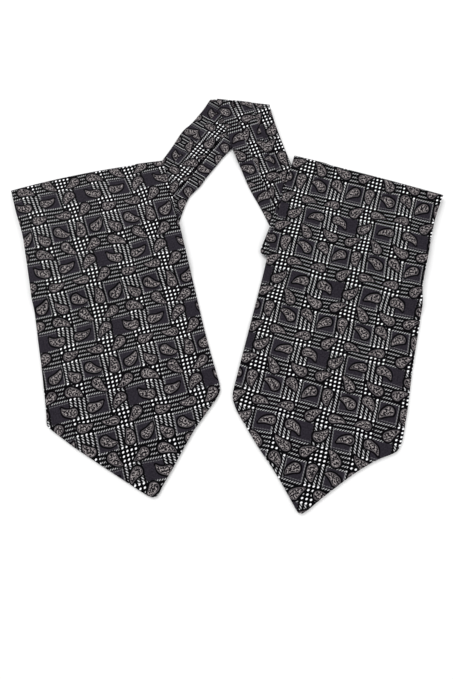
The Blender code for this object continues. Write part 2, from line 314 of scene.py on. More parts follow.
def read_table(table, at, column):
    """The table's value in a column, on a smooth curve through its rows."""
    last = len(table) - 1
    for k in range(last):
        if at <= table[k + 1][0] or k == last - 1:
            break
    low, high = table[k], table[k + 1]
    span = high[0] - low[0]
    t = min(max((at - low[0]) / span, 0.0), 1.0)
    before, after = table[max(k - 1, 0)], table[min(k + 2, last)]
    step = high[column] - low[column]
    start = slope(before, low, high, column) * span
    end = slope(low, high, after, column) * span
    return (low[column] + t * start + t * t * (3 * step - 2 * start - end)
            + t ** 3 * (start + end - 2 * step))


def slope(before, here, after, column):
    """The curve's slope at a row: the mean of its two sides, or none where they differ in sign."""
    sides = []
    for a, b in ((before, here), (here, after)):
        if b[0] > a[0]:
            sides.append((b[column] - a[column]) / (b[0] - a[0]))
    if len(sides) == 2 and sides[0] * sides[1] <= 0:
        return 0.0
    steepest = min(abs(side) for side in sides)
    mean = sum(sides) / len(sides)
    return math.copysign(min(abs(mean), 3 * steepest), mean)


def ridge_height(ridges, x, y):
    """How far the cloth is lifted at a place by soft ridges along straight lines."""
    total = 0.0
    for x0, y0, x1, y1, half_width, height in ridges:
        length = math.hypot(x1 - x0, y1 - y0)
        along = ((x - x0) * (x1 - x0) + (y - y0) * (y1 - y0)) / length
        aside = abs((x - x0) * (y1 - y0) - (y - y0) * (x1 - x0)) / length
        beyond = max(-along, along - length, 0.0)
        away = math.hypot(aside, beyond) / half_width
        if away < 1:
            fade = lerp(RIDGE_END, 1.0, math.sin(math.pi * min(max(along / length, 0.0), 1.0)))
            total += height * fade * (1 - away * away) ** 2
    return total


def tuck_top(side, neckward, down):
    """Height of the tuck's upper face: level, and higher over the end of the neckband."""
    bump = BAND_BUMP[side]
    across = smooth_step((neckward - bump["side"]) / BUMP_SIDE_RAMP)
    along = 1 - smooth_step((down - bump["lower"]) / BUMP_LOWER_RAMP)
    return TUCK_HEIGHT + BUMP_HEIGHT * across * along


def panel_floor(side, neckward, down):
    """Height of the blade's underside: on the tuck, then down a ramp to the floor, with its ridges."""
    on_tuck = tuck_top(side, neckward, down) + GAP
    base = on_tuck * (1 - smooth_step((down - RAMP_START) / RAMP_LENGTH))
    return base + ridge_height(BLADE_RIDGES[side], neckward, down)


def along_blade(side, down, share):
    """down, moved by the slant and bow of the top fold, which die out further down the blade."""
    fold = TOP_FOLD[side]
    start = lerp(fold["outer"], fold["neck"], share) - fold["bow"] * 4 * share * (1 - share)
    return down + start * max(1 - down / SKEW_LENGTH, 0.0)


def blade_place(side, down, share, inset=0.0):
    """(towards the neck, down) at a share of the width, from the outer edge (0) to the neck edge (1)."""
    edges = BLADE_EDGES[side]
    outer = -read_table(edges, down, 1)
    neck = read_table(edges, down, 2)
    room = min(inset, (neck - outer) * INSET_MOST)
    return lerp(outer + room, neck - room, share), along_blade(side, down, share)


def blade_to_floor(side, neckward, down):
    """The floor's x and y of a place on a blade."""
    blade = BLADES[side]
    lean = math.radians(blade["lean_deg"])
    x = blade["neck_sign"] * neckward
    y = -down
    return (
        blade["x"] + x * math.cos(lean) - y * math.sin(lean),
        blade["y"] + x * math.sin(lean) + y * math.cos(lean),
    )


# The printed silk: one repeat of a glen check with paisleys over it, as charted. A repeat has two
# plain and two striped columns, and two plain and two striped rows.
REPEAT = (71.5, 71.0)
CELL = (REPEAT[0] / 4, REPEAT[1] / 4)
STRIPE_PITCH = (3.95, 3.9)
STRIPE_START = (2.4, 0.8)
UPRIGHT_LINK_PITCH = 2.7
LEVEL_LINK_PITCH = 2.3
PAISLEYS = (
    # body_x, body_y, tip_x, tip_y, radius, bulge of the middle line to the convex side, taper
    (47.2, 48.6, 45.9, 37.6, 4.8, 1.2, 0.45),
    (62.0, 46.6, 69.6, 38.2, 4.7, 1.2, 0.62),
    (10.8, 50.4, 5.0, 42.6, 5.0, -1.0, 0.62),
    (25.4, 43.6, 36.0, 47.4, 4.8, 1.6, 0.62),
    (28.8, 59.8, 36.8, 69.0, 4.8, 1.0, 0.62),
    (57.2, 62.4, 47.0, 67.9, 4.6, -0.8, 0.62),
    (3.2, 62.6, 13.8, 69.4, 4.9, -1.2, 0.62),
    (47.6, 7.4, 40.2, 16.4, 4.8, 1.2, 0.62),
    (2.2, 11.4, -7.0, 4.6, 4.9, -2.2, 0.62),
    (20.4, 10.8, 31.4, 6.6, 4.4, 1.4, 0.62),
    (37.4, 27.2, 26.2, 25.2, 4.3, -1.2, 0.62),
    (58.4, 23.8, 49.2, 31.4, 4.7, -0.8, 0.62),
    (7.6, 27.8, 18.0, 25.0, 4.5, 1.2, 0.62),
)

# The paisley's half thickness at its tip, how strongly it hooks, and its border with half its soft edge.
PAISLEY_TIP = 0.6
PAISLEY_HOOK = 2.6
PAISLEY_BORDER = 1.45
BORDER_SOFTNESS = 0.2

# How far the stripes of the second column are set across, and half the squares' soft edge.
SECOND_COLUMN_SHIFT = 0.7
CELL_SOFTNESS = 0.1

# How much the links break up the stripes, how far the dots are drawn out on a slant, and the values
# between which stripes and dots go from dark to light.
UPRIGHT_LINKING = 0.9
LEVEL_LINKING = 0.8
DOT_SLANT = 0.24
UPRIGHT_FADE = (0.2, 1.6)
LEVEL_FADE = (0.45, 1.7)
DOT_FADE = (0.40, 0.78)

# The thin frames: the shares of a line's half width between which it fades, the middle line and half
# width of each side and of the end, the lightness of each with what its links add, and where the bare
# square begins across and ends down.
LINE_FADE = (0.6, 1.3)
FRAME_SIDES = ((CELL[0] + 0.5, 0.5), (2 * CELL[0] - 0.4, 0.4))
FRAME_END = (1.3, 0.4)
FRAME_SIDE_LIGHT = (0.7, 0.3)
FRAME_END_LIGHT = (0.35, 0.3)
BARE_START = (3 * CELL[0] - 1.2, 3 * CELL[0] - 1.0)
BARE_END = (CELL[1], CELL[1] + 0.2)

# Distances from a paisley's edge between which its outline ends and its body begins.
OUTLINE_FADE = (0.75, 1.4)
BODY_FADE = (-0.95, -0.45)

# Flecks in the paisleys, and a faint mottling of the plain squares, from one noise.
FLECK_SCALE = 0.66
FLECK_DETAIL = 1.5
FLECK_ROUGHNESS = 0.6
FLECK_FADE = (0.49, 0.59)
MOTTLE_FADE = (0.35, 0.65)

# How light the stripes and frames are next to the dots, and how proud the paisleys' threads stand.
UPRIGHT_LIGHT = 0.6
LEVEL_LIGHT = 0.5
FRAME_LIGHT = 0.2
BODY_RELIEF = 0.3
FLECK_RELIEF = 0.5

# The weave: the way and pitch of its twill, the heights of twill and print in the bump, and the
# roughness with what raised threads add.
TWILL_WAY = (1.0, 1.6, 0)
TWILL_PITCH = 0.62
TWILL_HEIGHT = 0.12
PRINT_HEIGHT = 0.8
BUMP_STRENGTH = 0.5
BUMP_METRES = 0.00012
ROUGHNESS = 0.46
THREAD_ROUGHNESS = 0.16

# The photo shows almost no highlight, so the silk's own are low.
SPECULAR = 0.02
SHEEN = 0.005
SHEEN_ROUGHNESS = 0.4
SHEEN_TINT = (0.86, 0.84, 0.92, 1)

# The print's colours.
CHARCOAL = (0.0250, 0.0218, 0.0290, 1)
CHARCOAL_DEEP = (0.0150, 0.0128, 0.0180, 1)
STRIPE_BLACK = (0.0014, 0.0012, 0.0018, 1)
OUTLINE_BLACK = (0.0010, 0.0009, 0.0014, 1)
WHITE = (0.88, 0.88, 0.90, 1)
BORDER_GREY = (0.085, 0.076, 0.082, 1)
FLECK_PALE = (0.300, 0.272, 0.272, 1)
FLECK_DARK = (0.006, 0.005, 0.007, 1)


class Sums:
    """Writes sums as maths nodes in one node tree."""

    def __init__(self, tree):
        self.tree = tree

    def join(self, value, socket):
        """Links another node's output to the socket, or sets a plain value on it."""
        if isinstance(value, bpy.types.NodeSocket):
            self.tree.links.new(value, socket)
        else:
            socket.default_value = value

    def maths(self, operation, *values):
        node = self.tree.nodes.new("ShaderNodeMath")
        node.operation = operation
        for value, socket in zip(values, node.inputs):
            self.join(value, socket)
        return node.outputs[0]

    def vector(self, operation, *values):
        node = self.tree.nodes.new("ShaderNodeVectorMath")
        node.operation = operation
        for value, socket in zip(values, node.inputs):
            self.join(value, socket)
        return node.outputs["Value" if operation == "DOT_PRODUCT" else "Vector"]

    def add(self, a, b):
        return self.maths("ADD", a, b)

    def less(self, a, b):
        return self.maths("SUBTRACT", a, b)

    def times(self, a, b):
        return self.maths("MULTIPLY", a, b)

    def most(self, a, b):
        return self.maths("MAXIMUM", a, b)

    def least(self, a, b):
        return self.maths("MINIMUM", a, b)

    def fade(self, value, start, end):
        """From 0 at start to 1 at end, smoothly."""
        node = self.tree.nodes.new("ShaderNodeMapRange")
        node.interpolation_type = "SMOOTHSTEP"
        for socket, given in zip(node.inputs, (value, start, end, 0.0, 1.0)):
            self.join(given, socket)
        return node.outputs["Result"]

    def turns(self, value, pitch, start=0.0):
        """The angle of a wave of the given pitch that has a crest at start."""
        return self.times(self.less(value, start), 2 * math.pi / pitch)

    def wave(self, value, pitch, start=0.0):
        return self.maths("COSINE", self.turns(value, pitch, start))

    def within(self, value, middle, half_width):
        """1 on a line at middle, with soft sides."""
        away = self.maths("ABSOLUTE", self.less(value, middle))
        return self.less(1.0, self.fade(away, half_width * LINE_FADE[0], half_width * LINE_FADE[1]))

    def blend(self, share, first, second):
        node = self.tree.nodes.new("ShaderNodeMix")
        node.data_type = "RGBA"
        colours = [socket for socket in node.inputs if socket.type == "RGBA"]
        self.join(share, node.inputs[0])
        self.join(first, colours[0])
        self.join(second, colours[1])
        return [socket for socket in node.outputs if socket.type == "RGBA"][0]


def paisley_distance(sums, place, row):
    """Distance in mm from one paisley's edge, less than 0 inside it.

    The paisley is a full drop that bends to one side and hooks back towards its tip.
    """
    body_x, body_y, tip_x, tip_y, radius, bulge, taper = row
    length = math.hypot(tip_x - body_x, tip_y - body_y)
    axis = ((tip_x - body_x) / length, (tip_y - body_y) / length, 0)
    side = (-axis[1], axis[0], 0)
    half = (REPEAT[0] / 2, REPEAT[1] / 2, 1)
    offset = sums.vector("SUBTRACT", place, (body_x, body_y, 0))
    offset = sums.vector("WRAP", offset, half, tuple(-value for value in half))
    along = sums.vector("DOT_PRODUCT", offset, axis)
    across = sums.vector("DOT_PRODUCT", offset, side)
    share = sums.maths("DIVIDE", along, length)
    share = sums.least(sums.most(share, 0.0), 1.0)
    rest = sums.less(1.0, share)
    hooked = sums.add(sums.times(share, PAISLEY_HOOK), 4 - PAISLEY_HOOK / 2)
    bent = sums.less(across, sums.times(sums.times(sums.times(share, rest), hooked), bulge))
    beyond = sums.less(along, sums.times(share, length))
    away = sums.maths("SQRT", sums.add(sums.times(bent, bent), sums.times(beyond, beyond)))
    fullness = sums.maths("POWER", rest, taper)
    thickness = sums.add(sums.times(fullness, radius), PAISLEY_TIP)
    return sums.less(away, thickness)


def make_print_group():
    """The print as a node group: from a place on the flat silk, in mm, to its colour and its relief."""
    tree = bpy.data.node_groups.new("glen_check_and_paisley", "ShaderNodeTree")
    tree.interface.new_socket("Place", in_out="INPUT", socket_type="NodeSocketVector")
    tree.interface.new_socket("Colour", in_out="OUTPUT", socket_type="NodeSocketColor")
    tree.interface.new_socket("Relief", in_out="OUTPUT", socket_type="NodeSocketFloat")
    place = tree.nodes.new("NodeGroupInput").outputs["Place"]
    result = tree.nodes.new("NodeGroupOutput")
    sums = Sums(tree)
    split = tree.nodes.new("ShaderNodeSeparateXYZ")
    tree.links.new(place, split.inputs[0])
    x, y = split.outputs[0], split.outputs[1]

    # Where the place is in a pair of columns and in a pair of rows.
    column = sums.maths("WRAP", x, 2 * CELL[0], 0.0)
    row = sums.maths("WRAP", y, 2 * CELL[1], 0.0)
    column_edge = (CELL[0] - CELL_SOFTNESS, CELL[0] + CELL_SOFTNESS)
    row_edge = (CELL[1] - CELL_SOFTNESS, CELL[1] + CELL_SOFTNESS)
    striped_column = sums.less(1.0, sums.fade(column, *column_edge))
    striped_row = sums.fade(row, *row_edge)
    plain_column = sums.less(1.0, striped_column)
    plain_row = sums.less(1.0, striped_row)

    # Stripes, each a chain of slanted links, and where they cross the dots, drawn out on a slant.
    whole_x = sums.maths("WRAP", x, REPEAT[0], 0.0)
    whole_y = sums.maths("WRAP", y, REPEAT[1], 0.0)
    second = sums.fade(whole_x, 2 * CELL[0] - CELL_SOFTNESS, 2 * CELL[0])
    shifted = sums.less(column, sums.times(second, SECOND_COLUMN_SHIFT))
    turns_x = sums.turns(shifted, STRIPE_PITCH[0], STRIPE_START[0])
    turns_y = sums.turns(row, STRIPE_PITCH[1], CELL[1] + STRIPE_START[1])
    wave_x = sums.maths("COSINE", turns_x)
    wave_y = sums.maths("COSINE", turns_y)
    upright_links = sums.wave(sums.less(x, y), UPRIGHT_LINK_PITCH)
    level_links = sums.wave(sums.add(x, y), LEVEL_LINK_PITCH)
    upright = sums.fade(sums.add(wave_x, sums.times(upright_links, UPRIGHT_LINKING)), *UPRIGHT_FADE)
    level = sums.fade(sums.add(wave_y, sums.times(level_links, LEVEL_LINKING)), *LEVEL_FADE)
    crossing = sums.add(sums.times(wave_x, 0.5), sums.times(wave_y, 0.5))
    slant = sums.times(sums.maths("COSINE", sums.add(turns_x, turns_y)), DOT_SLANT)
    dots = sums.fade(sums.add(crossing, slant), *DOT_FADE)
    upright = sums.times(upright, sums.times(striped_column, plain_row))
    level = sums.times(level, sums.times(striped_row, plain_column))
    dots = sums.times(dots, sums.times(striped_column, striped_row))

    # Thin frames round the plain squares, but for the bare one in each repeat.
    bare = sums.times(
        sums.fade(whole_x, *BARE_START),
        sums.less(1.0, sums.fade(whole_y, *BARE_END)),
    )
    sides = sums.most(sums.within(column, *FRAME_SIDES[0]), sums.within(column, *FRAME_SIDES[1]))
    sides = sums.times(sides, sums.times(plain_row, sums.less(1.0, bare)))
    sides = sums.times(sides, sums.add(FRAME_SIDE_LIGHT[0], sums.times(upright_links, FRAME_SIDE_LIGHT[1])))
    ends = sums.times(sums.within(row, *FRAME_END), plain_column)
    ends = sums.times(ends, sums.add(FRAME_END_LIGHT[0], sums.times(level_links, FRAME_END_LIGHT[1])))
    frames = sums.most(sides, ends)

    # The paisleys, with a dark outline round each, a smooth border and a flecked middle.
    distance = None
    for paisley in PAISLEYS:
        found = paisley_distance(sums, place, paisley)
        distance = found if distance is None else sums.least(distance, found)
    border_end = (-PAISLEY_BORDER - BORDER_SOFTNESS, -PAISLEY_BORDER + BORDER_SOFTNESS)
    ring = sums.less(1.0, sums.fade(distance, *OUTLINE_FADE))
    body = sums.less(1.0, sums.fade(distance, *BODY_FADE))
    middle = sums.less(1.0, sums.fade(distance, *border_end))
    veins = tree.nodes.new("ShaderNodeTexNoise")
    veins.inputs["Scale"].default_value = FLECK_SCALE
    veins.inputs["Detail"].default_value = FLECK_DETAIL
    veins.inputs["Roughness"].default_value = FLECK_ROUGHNESS
    tree.links.new(place, veins.inputs["Vector"])
    flecks = sums.fade(veins.outputs["Fac"], *FLECK_FADE)

    # Colours, one over the other.
    stripes = sums.most(sums.times(upright, UPRIGHT_LIGHT), sums.times(level, LEVEL_LIGHT))
    light = sums.most(sums.most(dots, stripes), sums.times(frames, FRAME_LIGHT))
    checked = sums.most(striped_column, striped_row)
    ground = sums.blend(sums.fade(veins.outputs["Fac"], *MOTTLE_FADE), CHARCOAL, CHARCOAL_DEEP)
    base = sums.blend(checked, ground, STRIPE_BLACK)
    colour = sums.blend(light, base, WHITE)
    colour = sums.blend(ring, colour, OUTLINE_BLACK)
    motif = sums.blend(middle, BORDER_GREY, sums.blend(flecks, FLECK_DARK, FLECK_PALE))
    colour = sums.blend(body, colour, motif)
    tree.links.new(colour, result.inputs["Colour"])

    # The light threads and the paisleys stand proud.
    threads = sums.times(light, sums.less(1.0, ring))
    stitches = sums.times(middle, sums.times(flecks, FLECK_RELIEF))
    raised = sums.most(threads, sums.add(sums.times(body, BODY_RELIEF), stitches))
    tree.links.new(raised, result.inputs["Relief"])
    return tree


def silk_material(name, print_group):
    """Silk with the print: a fine twill, a satin sheen, and threads that stand a little proud."""
    material = bpy.data.materials.new(name)
    material.use_nodes = True
    tree = material.node_tree
    shader = tree.nodes["Principled BSDF"]
    sums = Sums(tree)
    cloth = tree.nodes.new("ShaderNodeAttribute")
    cloth.attribute_name = "cloth"
    pattern = tree.nodes.new("ShaderNodeGroup")
    pattern.node_tree = print_group
    tree.links.new(cloth.outputs["Vector"], pattern.inputs["Place"])
    tree.links.new(pattern.outputs["Colour"], shader.inputs["Base Color"])
    twill = sums.vector("DOT_PRODUCT", cloth.outputs["Vector"], TWILL_WAY)
    twill = sums.times(sums.add(sums.wave(twill, TWILL_PITCH), 1.0), TWILL_HEIGHT)
    relief = sums.add(sums.times(pattern.outputs["Relief"], PRINT_HEIGHT), twill)
    bump = tree.nodes.new("ShaderNodeBump")
    bump.inputs["Strength"].default_value = BUMP_STRENGTH
    bump.inputs["Distance"].default_value = BUMP_METRES
    tree.links.new(relief, bump.inputs["Height"])
    tree.links.new(bump.outputs["Normal"], shader.inputs["Normal"])
    rough = sums.add(ROUGHNESS, sums.times(pattern.outputs["Relief"], THREAD_ROUGHNESS))
    tree.links.new(rough, shader.inputs["Roughness"])
    shader.inputs["Specular IOR Level"].default_value = SPECULAR
    shader.inputs["Sheen Weight"].default_value = SHEEN
    shader.inputs["Sheen Roughness"].default_value = SHEEN_ROUGHNESS
    shader.inputs["Sheen Tint"].default_value = SHEEN_TINT
    return material


# The place in the print under the middle of each piece's top edge.
FRONT_PRINT = {"left": (58.5, -162.5), "right": (53.0, 217.5)}
BACK_PRINT = {"left": (31.0, 12.0), "right": (31.0, 40.0)}
TUCK_PRINT = {"left": (20.0, 30.0), "right": (102.5, -88.3)}

# The cloth is skewed above one line down the left blade, slack below another on both, and its rows creep
# near the top folds: how far, from where up, and over what length.
SKEW_BEND = 4.6e-4
SKEW_END = 170.0
SLACK_SLOPE = 0.02
SLACK_START = 190.0
CREEP = {"left": (5.0, 105.0, 80.0), "right": (-4.0, 45.0, 45.0)}


def thread_drift(x, down):
    """How far the threads drift across and down from straight lines, in slow uneven waves.

    x and down are divided by the length in which each wave turns by one radian.
    """
    across = 0.35 * math.sin(down / 9.0 + 0.6 * math.sin(x / 21.0)) + 0.2 * math.sin(down / 23.0 + x / 17.0)
    along = 0.45 * math.sin(x / 10.0 + down / 37.0) + 0.25 * math.sin(x / 6.1 - down / 19.0)
    return across, along


def panel_print(side, x, down):
    """Where a place on a blade's front lies in the print, x being counted to the right on both blades.

    The right half is turned end for end.
    """
    start_x, start_y = FRONT_PRINT[side]
    most, end, ramp = CREEP[side]
    crept = most * smooth_step((end - down) / ramp)
    slack = SLACK_SLOPE * max(down - SLACK_START, 0.0)
    drift_across, drift_along = thread_drift(x, down)
    if side == "left":
        skew = SKEW_BEND * max(SKEW_END - down, 0.0) ** 2
        across = start_x + x + skew - slack
        along = start_y + down + slack + crept
    else:
        across = start_x - x
        along = start_y - down - slack + crept
    return across + drift_across, along + drift_along


def back_print(side, x, down):
    """The same on a blade's back, where it runs the other way across."""
    start_x, start_y = BACK_PRINT[side]
    sense = 1 if side == "left" else -1
    return start_x - x, start_y + sense * down


def tuck_print(side, neckward, down):
    """The same on a tuck, whose upper face is the cloth's other side."""
    start_x, start_y = TUCK_PRINT[side]
    sense = -1 if side == "left" else 1
    return start_x - neckward, start_y + sense * down


# How the print lies on each arm of the band: a place on the floor, the print there, which way the print
# runs down the arm, how far the arm leans, and how each strip between the pleats is shifted.
BAND_PRINT = {
    "left": {
        "x": -18.3,
        "y": 158.3,
        "print_x": 47.5,
        "print_y": 46.5,
        "sense": 1,
        "lean_deg": -35.0,
        "stretch": 1.08,
        "shifts": ((42.5, 0.0), (0.0, 0.0), (-37.5, 4.0)),
    },
    "right": {
        "x": 59.2,
        "y": 141.2,
        "print_x": 47.5,
        "print_y": 46.5,
        "sense": -1,
        "lean_deg": 20.0,
        "stretch": 0.96,
        "shifts": ((0.0, 0.0), (-31.0, -2.0), (11.75, -1.0)),
    },
}


def band_print(side, strip, x, y, further=0.0):
    """The same on the neckband, where further is the length round the neck fold from the place."""
    lie = BAND_PRINT[side]
    lean = math.radians(lie["lean_deg"])
    across = (x - lie["x"]) * math.cos(lean) + (y - lie["y"]) * math.sin(lean)
    down = (x - lie["x"]) * math.sin(lean) - (y - lie["y"]) * math.cos(lean) - further
    shift = lie["shifts"][strip]
    return (
        lie["print_x"] + lie["sense"] * across + shift[0],
        lie["print_y"] + lie["sense"] * down * lie["stretch"] + shift[1],
    )


def section_faces(points):
    """Faces that close a bent section, as numbers of its points: points are (across, height)."""
    return [tuple(face) for face in tessellate_polygon([[Vector((a, h, 0)) for a, h in points]])]


def strip_faces(count):
    """Faces that close a section that runs over from one edge to the other and back the same way."""
    half = count // 2
    faces = [(0, 1, count - 1), (half - 1, half, half + 1)]
    return faces + [(k, k + 1, count - k - 1, count - k) for k in range(1, half - 1)]


def make_shell(name, rings, first_cap, last_cap, material):
    """A closed shell through rings of (x, y, z, print x, print y), in mm in the floor's axes."""
    count = len(rings[0])
    places = []
    prints = []
    for ring in rings:
        for x, y, z, print_x, print_y in ring:
            places.append(((x + HOME[0]) * MM, (y + HOME[1]) * MM, z * MM))
            prints += [print_x, print_y, 0.0]
    faces = []
    for k in range(len(rings) - 1):
        for j in range(count):
            after = (j + 1) % count
            faces.append((k * count + j, k * count + after, (k + 1) * count + after, (k + 1) * count + j))
    start = (len(rings) - 1) * count
    faces += list(first_cap)
    faces += [tuple(start + corner for corner in face) for face in last_cap]
    mesh = bpy.data.meshes.new(name)
    mesh.from_pydata(places, [], faces)
    cloth = mesh.attributes.new("cloth", "FLOAT_VECTOR", "POINT")
    cloth.data.foreach_set("vector", prints)
    turned = bmesh.new()
    turned.from_mesh(mesh)
    bmesh.ops.recalc_face_normals(turned, faces=turned.faces)
    turned.to_mesh(mesh)
    turned.free()
    mesh.shade_smooth()
    mesh.set_sharp_from_angle(angle=math.radians(SHARP_ANGLE_DEG))
    mesh.materials.append(material)
    mesh.validate()
    piece = bpy.data.objects.new(name, mesh)
    bpy.context.scene.collection.objects.link(piece)
    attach(piece, "root")
    return piece


def panel_path(width, wall):
    """(share of the width, level) over a panel from edge to edge, then back under it."""
    over = []
    for k in range(RIM_STEPS + 1):
        angle = math.pi / 2 * k / RIM_STEPS
        into = wall / 2 * (1 - math.cos(angle)) / width
        over.append((min(into, RIM_MOST), 0.5 + 0.5 * math.sin(angle)))
    inner = over[-1][0]
    middle = [(lerp(inner, 1 - inner, k / PANEL_COLUMNS), 1.0) for k in range(1, PANEL_COLUMNS)]
    over += middle + [(1 - share, level) for share, level in reversed(over)]
    under = [(share, 1 - level) for share, level in reversed(over[1:-1])]
    return over + under


def panel_rows(side, first):
    """Stations down a blade, evenly spaced but for a few close together at its tip."""
    length = BLADE_EDGES[side][-1][0]
    count = round((length - first) / ROW_STEP)
    rows = [lerp(first, length, (k / count) ** ROW_CROWDING) for k in range(count)]
    tip = [length - before for before in TIP_ROWS]
    return [row for row in rows if row < tip[0] - TIP_CLEARANCE] + tip


def panel_ring(side, down, inset, wall, lift, print_at):
    """A section across a panel that lies lift above the blade's underside."""
    left = blade_place(side, down, 0, inset)[0]
    right = blade_place(side, down, 1, inset)[0]
    ring = []
    for share, level in panel_path(right - left, wall):
        neckward, along = blade_place(side, down, share, inset)
        x, y = blade_to_floor(side, neckward, along)
        z = panel_floor(side, neckward, down) + lift + wall * level
        ring.append((x, y, z, *print_at(side, neckward * BLADES[side]["neck_sign"], along)))
    return ring


def roll_ring(side, turn):
    """A section of the front panel where it rolls round the top fold, turn from 0 (over) to 1."""
    ring = []
    width = blade_place(side, 0, 1)[0] - blade_place(side, 0, 0)[0]
    for share, level in panel_path(width, FRONT_WALL):
        neckward, along = blade_place(side, 0, share)
        near_neck = smooth_step((neckward - NECK_TURN_START) / NECK_TURN_RAMP)
        angle = math.radians(lerp(ROLL_TURN_DEG, NECK_TURN_DEG, near_neck)) * turn
        top = panel_floor(side, neckward, 0) + BACK_WALL + GAP + FRONT_WALL
        radius = ROLL_RADIUS - FRONT_WALL * (1 - level)
        down = along + ROLL_RADIUS - radius * math.sin(angle)
        z = top - ROLL_RADIUS + radius * math.cos(angle)
        x, y = blade_to_floor(side, neckward, down)
        flat_down = along + ROLL_RADIUS - ROLL_RADIUS * angle
        ring.append((x, y, z, *panel_print(side, neckward * BLADES[side]["neck_sign"], flat_down)))
    return ring


def make_front(side, material):
    rings = [roll_ring(side, 1 - k / ROLL_STEPS) for k in range(ROLL_STEPS)]
    lift = BACK_WALL + GAP
    for down in panel_rows(side, FRONT_START):
        rings.append(panel_ring(side, down, 0.0, FRONT_WALL, lift, panel_print))
    caps = strip_faces(len(rings[0]))
    piece = make_shell(f"{side}_front_silk", rings, caps, caps, material)
    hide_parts(f"{side}_blade_front")


def make_back(side, material):
    rings = []
    for down in panel_rows(side, LAYERS_START):
        rings.append(panel_ring(side, down, BACK_INSET, BACK_WALL, 0.0, back_print))
    caps = strip_faces(len(rings[0]))
    piece = make_shell(f"{side}_back_silk", rings, caps, caps, material)
    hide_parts(f"{side}_blade_back")


def layered_edge(start, low, high, layers):
    """(across, height) up a layered edge at the low side: one soft round for each layer."""
    thick = (high - low) / layers
    points = []
    for layer in range(layers):
        radius = thick / 2
        middle = low + thick * (layer + 0.5)
        depth = LAYER_SETBACK if layer % 2 else 0.0
        for k in range(RIM_STEPS + 1):
            angle = math.pi * ((k + LAYER_CREASE) / (RIM_STEPS + 2 * LAYER_CREASE) - 0.5)
            across = start + depth + radius * (1 - math.cos(angle))
            points.append((across, middle + radius * math.sin(angle)))
    return points


def tuck_ring(side, down, squeeze):
    """A section across a tuck: its layered outer side, its top, and the overlay on the band's end."""
    outer = blade_place(side, down, 0)[0] + TUCK_INSET
    overlay = read_table(TUCK_EDGES[side], down, 1)
    inner = read_table(TUCK_EDGES[side], down, 2)
    path = layered_edge(outer, 0.0, TUCK_HEIGHT, 4)
    start = path[-1][0] + TUCK_EDGE_ROUND
    for k in range(TUCK_TOP_STEPS + 1):
        neckward = lerp(start, overlay - OVERLAY_EDGE_ROUND, k / TUCK_TOP_STEPS)
        path.append((neckward, tuck_top(side, neckward, down)))
    edge_top = tuck_top(side, overlay, down)
    under = edge_top - TUCK_OVERLAY
    radius = TUCK_OVERLAY / 2
    for k in range(OVERLAY_STEPS + 1):
        angle = math.pi * (0.5 - k / OVERLAY_STEPS)
        path.append((overlay - radius * (1 - math.cos(angle)), under + radius + radius * math.sin(angle)))
    path += [(inner + offset, under * share + rise) for offset, share, rise in TUCK_INNER_SIDE]
    for k in range(TUCK_UNDER_STEPS + 1):
        path.append((lerp(inner - UNDERSIDE_INSET, outer + UNDERSIDE_INSET, k / TUCK_UNDER_STEPS), 0.0))
    ring = []
    middle = edge_top / 2
    for neckward, height in path:
        along = along_blade(side, down, (neckward - outer) / (overlay - outer))
        x, y = blade_to_floor(side, neckward, along)
        z = lerp(height, middle, squeeze)
        ring.append((x, y, z, *tuck_print(side, neckward, along)))
    return ring, [(neckward, lerp(height, middle, squeeze)) for neckward, height in path]


def make_tuck(side, material):
    rows = [(LAYERS_START + before, squeeze) for before, squeeze in TUCK_END]
    for k in range(TUCK_ROWS + 1):
        down = lerp(LAYERS_START + TUCK_ROWS_START, TUCK_LENGTH - TUCK_ROWS_START, k / TUCK_ROWS)
        rows.append((down, 0.0))
    rows += [(TUCK_LENGTH - before, squeeze) for before, squeeze in reversed(TUCK_END)]
    made = [tuck_ring(side, down, squeeze) for down, squeeze in rows]
    rings = [ring for ring, section in made]
    piece = make_shell(
        f"{side}_tuck_silk", rings, section_faces(made[0][1]), section_faces(made[-1][1]), material
    )
    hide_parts(f"{side}_tuck")


def band_section(width, pleats, near_fold):
    """(across, height, strip) over the pleated bundle from its outer edge to its inner one.

    near_fold is 1 at the neck fold, where the bundle is pressed and its edges are round, and 0 away
    from it, where the edges are layered.
    """
    first = width * pleats[0]
    second = width * pleats[1]
    press = lerp(1.0, FOLD_PRESS, near_fold)
    low = []
    for across, height in layered_edge(0.0, 0.0, BAND_LOW, 2):
        off_middle = min(abs(2 * height / BAND_LOW - 1), 1.0)
        round_edge = FOLD_EDGE_ROUND * (1 - math.sqrt(1 - off_middle * off_middle))
        low.append((lerp(across, round_edge, near_fold), height, 0))
    start = low[-1][0] + BAND_EDGE_ROUND
    root = PLEAT_DEPTH - PLEAT_ROOT_STOP
    fold = pleat_edge(first, 1)
    points = list(low)
    points += swollen_strip(start, first + root, BAND_LOW, LOW_SWELL, LOW_STRIP_STEPS, 0)
    points += fold
    high_ends = (first + PLEAT_FOLD_STOP, second - PLEAT_FOLD_STOP)
    points += swollen_strip(*high_ends, BAND_HIGH, HIGH_SWELL, HIGH_STRIP_STEPS, 1)[1:-1]
    points += [(second - (across - first), height, strip) for across, height, strip in reversed(fold)]
    points += swollen_strip(second - root, width - start, BAND_LOW, LOW_SWELL, LOW_STRIP_STEPS, 2)
    points += [(width - across, height, 2) for across, height, strip in reversed(low)]
    for k in range(BAND_UNDER_STEPS + 1):
        share = k / BAND_UNDER_STEPS
        strip = 2 if share < 1 - pleats[1] else 1 if share < 1 - pleats[0] else 0
        points.append((lerp(width - UNDERSIDE_INSET, UNDERSIDE_INSET, share), 0.0, strip))
    return [
        (across, min(height, BAND_LOW) + max(height - BAND_LOW, 0.0) * press, strip)
        for across, height, strip in points
    ]


